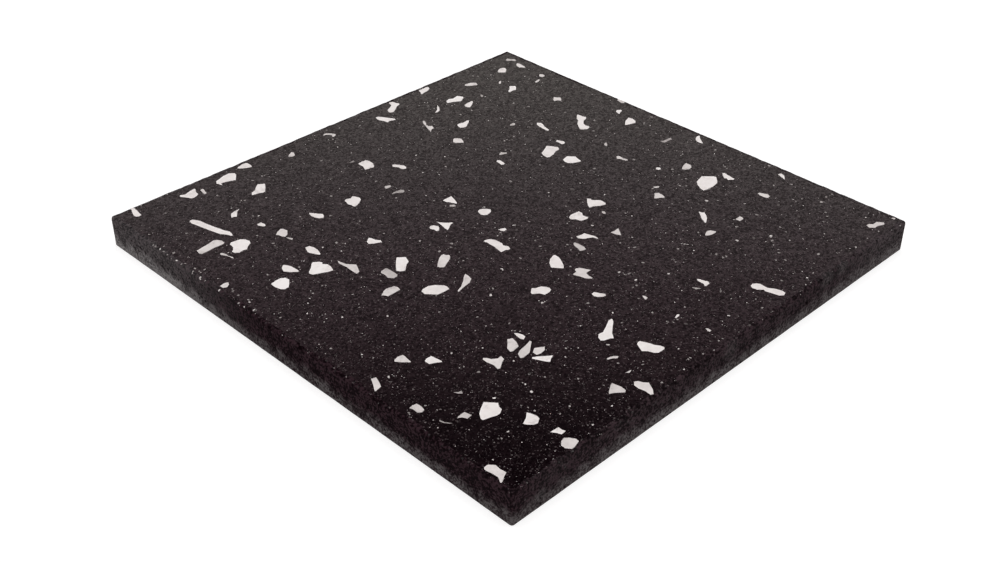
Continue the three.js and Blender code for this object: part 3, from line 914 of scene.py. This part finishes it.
castBody = {
    "groundDrop": 0.03 * mm,        # the cement is worn this much below the harder stones
    "cells": 150,                   # along each side
    "rows": 9,                      # up each side
    "uprightRadius": 1.6 * mm,
    "uprightSegments": 5,
    "arrisSegments": 4,
    "footBevel": 0.5 * mm,
    "footSegments": 2,
    "fineTilt": 0.98,               # faces that look up or down less than this are divided once more
    "flatTilt": 0.999,              # those that look up more than this, away from the rim, become one
    "flatAngle": 1,                 # degrees between faces that may become one
    "rimWidth": 4.2 * mm,           # the finely divided strip of the ground face along the arris
    "wears": {                      # width of the unevenness, its most, and its detail
        "side_waves": (14 * mm, 0.16 * mm, 2),
        "worn_arris": (4 * mm, 0.8 * mm, 3),
        "rough_back": (5 * mm, 0.5 * mm, 4),
    },
    "waveTop": 0.3 * mm,            # the side's waves end this far above the foot of the arris
    "waveFade": 1.5 * mm,
    "arrisReach": 1.9 * mm,         # how far from the edge the wear goes, more or less
    "arrisStray": 1.6 * mm,         # how much that varies
    "strayPatches": 220,            # patches of it to a metre
    "wornDown": 2 * mm,             # no wear lower than this below the foot of the arris
    "wornIn": 3.6 * mm,             # or further in from the side
    "backEdge": 0.6 * mm,           # the back's roughness starts this far in, and is full after the fade
    "backFade": 4 * mm,
    "backTop": 0.1 * mm,            # higher up there is none
    "bugHoleDepth": 0.9 * mm,
    "bugHoleSkin": 0.4 * mm,        # what lies deeper behind the side than this isn't pressed in
    "bugHoles": {                   # along a side, height and width, in mm
        "left": [(101.5, 8.5, 2.2), (118, 5, 1.6), (84, 12.5, 1.6), (40, 7.5, 1.8), (-12, 11, 1.6),
                 (-66, 6, 2)],
        "right": [(96, 5.5, 2), (58, 10, 1.6), (13, 13, 1.6), (-38, 5, 1.8), (-91, 9.5, 2),
                  (-120, 12.5, 1.6)],
        "backLeft": [(-105, 9, 2), (-31, 5, 1.6), (37, 12, 1.8), (116, 7, 2)],
        "backRight": [(-118, 6, 1.8), (-52, 12, 2), (24, 8, 1.6), (97, 4.5, 2)],
    },
    "inward": {"left": (1, 0, 0), "right": (0, 1, 0), "backLeft": (0, -1, 0), "backRight": (-1, 0, 0)},
    "groundTilt": 0.9995,           # faces that look up more than this get the ground finish
    "backTilt": -0.8,               # and faces that look down more than this the back's
    "smooth": 40,                   # degrees
}


def weigh(piece, name, weightOf):  # a vertex group with a weight worked out from each vertex's place
    group = piece.vertex_groups.new(name=name)
    for vertex in piece.data.vertices:
        weight = weightOf(vertex.co)
        if weight > 0:
            group.add([vertex.index], weight, "REPLACE")


def wear(piece, group, size, strength, detail):  # pushes the surface inwards by up to the strength
    texture = bpy.data.textures.new(group, "CLOUDS")
    texture.noise_scale = size
    texture.noise_depth = detail
    takeUp(piece)
    bpy.ops.object.modifier_add(type="DISPLACE")
    displace = piece.modifiers[-1]
    displace.texture = texture
    displace.texture_coords = "LOCAL"
    displace.vertex_group = group
    displace.mid_level = 1.0
    displace.strength = strength
    bpy.ops.object.modifier_apply(modifier=displace.name)


def insetOf(point):  # how far in from the nearest side a point lies
    return half - max(abs(point.x), abs(point.y))


def isOnOutline(point):  # on the rounded square that the sides follow
    turn = half - castBody["uprightRadius"]
    x, y = abs(point.x), abs(point.y)
    if x > turn and y > turn:
        return math.hypot(x - turn, y - turn) > castBody["uprightRadius"] - 2 * hair
    return insetOf(point) < hair


def isNearRim(point):
    return insetOf(point) < castBody["rimWidth"]


def makeBody():
    height = faceHeight - castBody["groundDrop"]
    bpy.ops.mesh.primitive_cube_add(size=1, location=(0, 0, height / 2), scale=(2 * half, 2 * half, height))
    body = bpy.context.object
    body.name = "cement_body"
    bpy.ops.object.transform_apply(location=True, rotation=True, scale=True)
    mesh = body.data

    def ends(edge):
        return [mesh.vertices[index].co for index in edge.vertices]

    def isLevel(edge):
        return abs(ends(edge)[0].z - ends(edge)[1].z) < hair

    def isUpright(edge):
        return not isLevel(edge)

    def isCorner(edge):
        return isUpright(edge) and all(min(abs(point.x), abs(point.y)) > half - hair for point in ends(edge))

    def isTopRim(edge):
        return isLevel(edge) and all(isOnOutline(point) and point.z > height - hair for point in ends(edge))

    def isFootRim(edge):
        return isLevel(edge) and all(isOnOutline(point) and point.z < hair for point in ends(edge))

    def isFine(face):
        return abs(face.normal.z) < castBody["fineTilt"] or isNearRim(face.center)

    def isGround(face):
        return face.normal.z > castBody["flatTilt"] and not isNearRim(face.center)

    workOn(body, "edges", isLevel, bpy.ops.mesh.subdivide, number_cuts=castBody["cells"] - 1)
    workOn(body, "edges", isUpright, bpy.ops.mesh.subdivide, number_cuts=castBody["rows"] - 1)
    workOn(body, "edges", isCorner, bpy.ops.mesh.bevel,
           offset=castBody["uprightRadius"], segments=castBody["uprightSegments"])
    workOn(body, "edges", isTopRim, bpy.ops.mesh.bevel,
           offset=arrisRadius, segments=castBody["arrisSegments"])
    workOn(body, "edges", isFootRim, bpy.ops.mesh.bevel,
           offset=castBody["footBevel"], segments=castBody["footSegments"])
    workOn(body, "polygons", isFine, bpy.ops.mesh.subdivide, number_cuts=1)
    workOn(body, "polygons", isGround, bpy.ops.mesh.dissolve_limited,
           angle_limit=math.radians(castBody["flatAngle"]))
    return body


def wearBody(body):
    height = faceHeight - castBody["groundDrop"]
    shoulder = height - arrisRadius

    def sideWeight(point):
        return max(0.0, min(1.0, (shoulder + castBody["waveTop"] - point.z) / castBody["waveFade"]))

    def arrisWeight(point):
        inset = insetOf(point)
        if point.z < shoulder - castBody["wornDown"] or inset > castBody["wornIn"]:
            return 0.0
        stray = noise.noise(point * castBody["strayPatches"]) * castBody["arrisStray"]
        return max(0.0, 1.0 - math.hypot(inset, point.z - height) / (castBody["arrisReach"] + stray))

    def backWeight(point):
        if point.z > castBody["backTop"]:
            return 0.0
        return max(0.0, min(1.0, (insetOf(point) - castBody["backEdge"]) / castBody["backFade"]))

    weigh(body, "side_waves", sideWeight)
    weigh(body, "worn_arris", arrisWeight)
    weigh(body, "rough_back", backWeight)
    for name, unevenness in castBody["wears"].items():
        wear(body, name, *unevenness)
    for side, holes in castBody["bugHoles"].items():
        sinkHoles(body, Vector(castBody["inward"][side]), holes)


def sinkHoles(body, inward, holes):  # presses small air holes into a side

    def isInHole(vertex):
        if vertex.co.dot(inward) > castBody["bugHoleSkin"] - half:
            return False
        along = vertex.co.x if inward.x == 0 else vertex.co.y
        return any(math.hypot(along - place * mm, vertex.co.z - level * mm) < width / 2 * mm
                   for place, level, width in holes)

    workOn(body, "vertices", isInHole, bpy.ops.transform.translate, value=inward * castBody["bugHoleDepth"])


# The body's finishes

grainEdge = (0.46, 0.30)    # how far from its middle a grain ends, and where it is full, in cells

groundFinish = {
    "dark": (0.0011, 0.0, 0.0006),
    "brown": (0.0065, 0.0030, 0.0042),
    "grain": (0.060, 0.048, 0.050),
    "clouds": (9 * mm, 4.0, 0.6),
    "speckle": (1.1 * mm, 2.0, 0.7),
    "mottle": (0.3, 0.7),           # weights of the clouds and the speckle
    "brownEdge": (0.42, 0.62),      # mottle where the brown starts, and where it is full
    "grains": [(1.4 * mm, 0.72), (0.8 * mm, 0.72)],     # width of the cells, and the share that is empty
    "grainShare": 0.8,
    "polishCells": [(1.05 * mm, 0.5), (0.6 * mm, 0.3)],     # their width and weight
    "polishClouds": 0.2,            # weight of the clouds
    "polishEdge": (0.25, 0.80),     # where the gloss starts, and where it is full
    "polishRoughness": 0.10,        # roughness of the polished grains' own gloss
    "roughness": 0.16,
    "roughnessStray": 0.1,
    "specular": 0.13,
    "relief": 0.1 * mm,
}

sideFinish = {
    "dark": (0.0034, 0.0012, 0.0020),
    "smoke": (0.033, 0.0185, 0.0235),
    "dull": (0.024, 0.0165, 0.019),
    "pale": (0.090, 0.083, 0.085),
    "haze": (0.22, 0.212, 0.214),
    "waves": (26 * mm, 2.0, 0.5),
    "blotch": (6.5 * mm, 3.0, 0.55),
    "speckle": (1.4 * mm, 3.0, 0.75),
    "mottle": (0.25, 0.75),         # weights of the blotch and the speckle
    "smokeEdge": (0.46, 0.57),      # mottle where it starts, and where it is full
    "paleEdge": (0.45, 0.56),
    "paleTop": 5.8,                 # mean height of the pale band, in mm
    "paleWave": 8.0,                # how much that varies in long waves
    "paleRagged": 8.0,              # and from blotch to blotch
    "paleFade": 3.2,                # half the height of the fade
    "sand": (1.6 * mm, 0.7),        # width of the cells, and the share that is empty
    "sandShare": 0.35,
    "pinholes": (1.9 * mm, 0.62),
    "pinholeShare": 0.9,
    "hazes": [                      # middle, start, where it is full, share up the side and in the band
        ((-0.150, 0.150, 0.004), 135 * mm, 45 * mm, 0.20, 0.50),
        ((0.150, -0.150, 0.012), 85 * mm, 20 * mm, 0.10, 0.08),
        ((0.040, -0.150, 0.009), 210 * mm, 130 * mm, 0.03, 0.04),
        ((-0.128, -0.150, 0.022), 26 * mm, 4 * mm, 0.025, 0.02),
        ((0.0755, -0.150, 0.016), 8 * mm, 1 * mm, 0.13, 0.1),
        ((0.089, -0.150, 0.017), 7 * mm, 1 * mm, 0.13, 0.1),
        ((-0.004, -0.150, 0.013), 8 * mm, 1 * mm, 0.08, 0.08),
        ((-0.1335, -0.150, 0.0065), 6 * mm, 1 * mm, 0.12, 0.16),
    ],
    "hazeRagged": 1.2,              # how uneven a haze's reach is, as a share of where it starts
    "hazeEdge": (0.40, 0.60),       # mottle where a haze is thin, and where it is thick
    "hazeThin": 0.35,
    "hazeThick": 1.65,
    "roughness": 0.75,
    "roughnessStray": 0.2,
    "specular": 0.01,
    "relief": 0.14 * mm,
    "speckleRelief": 0.7,           # as a share of the blotch's
}

backFinish = {
    "dark": (0.05, 0.047, 0.046),
    "pale": (0.12, 0.117, 0.112),
    "clouds": (30 * mm, 4.0, 0.6),
    "blotch": (4 * mm, 4.0, 0.65),
    "mottle": (0.5, 0.5),           # weights of the clouds and the blotch
    "paleEdge": (0.36, 0.64),       # mottle where the pale starts, and where it is full
    "roughness": 0.8,
    "roughnessStray": 0.2,
    "specular": 0.2,
    "relief": 0.12 * mm,
}


def mix(first, second, weights):
    return first * weights[0] + second * weights[1]


def cellsOf(shader, place, size, output):
    return shader.node("ShaderNodeTexVoronoi", inputs={"Vector": place, "Scale": 1 / size}, output=output)


def tintOfGrains(shader, place, size):  # a value of its own for each grain, 0 to 1
    tints = cellsOf(shader, place, size, "Color")
    return shader.node("ShaderNodeSeparateColor", inputs={"Color": tints}, output="Red")


def addGrains(shader, place, size, empty):  # rounded grains in the cells that aren't empty, some paler
    distance = cellsOf(shader, place, size, "Distance")
    return shader.ramp(distance, *grainEdge) * shader.ramp(tintOfGrains(shader, place, size), empty, 1.0)


def makeGround():
    finish = groundFinish
    material, shader = newShader("ground_black_cement")
    place = shader.place()
    clouds = shader.noise(place, *finish["clouds"])
    speckle = shader.noise(place, *finish["speckle"])
    mottle = mix(clouds, speckle, finish["mottle"])
    colour = shader.blend(shader.ramp(mottle, *finish["brownEdge"]), finish["dark"], finish["brown"])
    for size, empty in finish["grains"]:
        grains = addGrains(shader, place, size, empty)
        colour = shader.blend(grains * finish["grainShare"], colour, finish["grain"])
    polished = clouds * finish["polishClouds"]
    for size, weight in finish["polishCells"]:
        polished = polished + tintOfGrains(shader, place, size) * weight
    shader.surface({
        "Base Color": colour,
        "Roughness": finish["roughness"] + (speckle - 0.5) * finish["roughnessStray"],
        "Specular IOR Level": finish["specular"],
        "Coat Weight": shader.ramp(polished, *finish["polishEdge"]),
        "Coat Roughness": finish["polishRoughness"],
        "Normal": shader.bump(speckle, finish["relief"]),
    })
    return material


def makeSide():
    finish = sideFinish
    material, shader = newShader("cast_side")
    place = shader.place()
    height = shader.axis(place, "Z") * (1 / mm)
    waves = shader.noise(place, *finish["waves"])
    blotch = shader.noise(place, *finish["blotch"])
    speckle = shader.noise(place, *finish["speckle"])
    mottle = mix(blotch, speckle, finish["mottle"])
    edge = (height - finish["paleTop"] - (waves - 0.5) * finish["paleWave"]
            - (blotch - 0.5) * finish["paleRagged"])
    pale = shader.ramp(edge, finish["paleFade"], -finish["paleFade"])
    upper = shader.blend(shader.ramp(mottle, *finish["smokeEdge"]), finish["dark"], finish["smoke"])
    lower = shader.blend(shader.ramp(mottle, *finish["paleEdge"]), finish["dull"], finish["pale"])
    colour = shader.blend(pale, upper, lower)
    sand = addGrains(shader, place, *finish["sand"])
    colour = shader.blend(sand * finish["sandShare"], colour, finish["pale"])
    thickness = finish["hazeThin"] + shader.ramp(mottle, *finish["hazeEdge"]) * (
        finish["hazeThick"] - finish["hazeThin"])
    for middle, start, full, upShare, lowShare in finish["hazes"]:
        away = shader.node("ShaderNodeVectorMath", {"operation": "DISTANCE"}, {0: place, 1: middle},
                           output="Value")
        near = shader.ramp(away + (mottle - 0.5) * (finish["hazeRagged"] * start), start, full)
        share = near * (upShare + pale * (lowShare - upShare)) * thickness
        colour = shader.blend(share, colour, finish["haze"])
    pinholes = addGrains(shader, place, *finish["pinholes"])
    colour = shader.blend(pinholes * finish["pinholeShare"], colour, finish["dark"])
    shader.surface({
        "Base Color": colour,
        "Roughness": finish["roughness"] + (mottle - 0.5) * finish["roughnessStray"],
        "Specular IOR Level": finish["specular"],
        "Normal": shader.bump(speckle * finish["speckleRelief"] + blotch, finish["relief"]),
    })
    return material


def makeBack():
    finish = backFinish
    material, shader = newShader("cast_back")
    place = shader.place()
    clouds = shader.noise(place, *finish["clouds"])
    blotch = shader.noise(place, *finish["blotch"])
    mottle = mix(clouds, blotch, finish["mottle"])
    shader.surface({
        "Base Color": shader.blend(shader.ramp(mottle, *finish["paleEdge"]), finish["dark"], finish["pale"]),
        "Roughness": finish["roughness"] + (blotch - 0.5) * finish["roughnessStray"],
        "Specular IOR Level": finish["specular"],
        "Normal": shader.bump(blotch, finish["relief"]),
    })
    return material


def paintBody(body):
    for material in (makeGround(), makeSide(), makeBack()):
        body.data.materials.append(material)
    for face in body.data.polygons:
        if face.normal.z > castBody["groundTilt"] and insetOf(face.center) >= arrisRadius:
            face.material_index = 0
        elif face.normal.z > castBody["backTilt"]:
            face.material_index = 1
        else:
            face.material_index = 2


# The tile, put together

def finishPiece(piece, angle):
    takeUp(piece)
    bpy.ops.object.shade_smooth_by_angle(angle=math.radians(angle))
    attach(piece, "root")


deselectAll()
makeCamera()
print("camera set")

chips = makeChips()
chips.data.materials.append(makeMarble("white_marble", chipFinish))
finishPiece(chips, marbleChips["smooth"])
print("marble chips:", len(chips.data.polygons), "faces")

body = makeBody()
wearBody(body)
paintBody(body)
finishPiece(body, castBody["smooth"])
for face in body.data.polygons:  # the ground face is dead flat, so its rim mustn't shade it
    if face.material_index == 0:
        face.use_smooth = False
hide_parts("terrazzo_slab")
bodySurface = BVHTree.FromPolygons([vertex.co for vertex in body.data.vertices],
                                   [face.vertices for face in body.data.polygons])
print("cement body:", len(body.data.polygons), "faces")

stones = makeSmallStones(bodySurface)
stones.data.materials.append(makeMarble("small_marble", grainFinish))
finishPiece(stones, smallStones["smooth"])
print("small stones:", len(stones.data.polygons), "faces")

grains = makeGrit(bodySurface)
grains.data.materials.append(makeMarble("marble_grit", grainFinish))
finishPiece(grains, grit["smooth"])
print("grit:", len(grains.data.polygons), "faces")

makeFloor()
makeLight()
print("floor and light set")
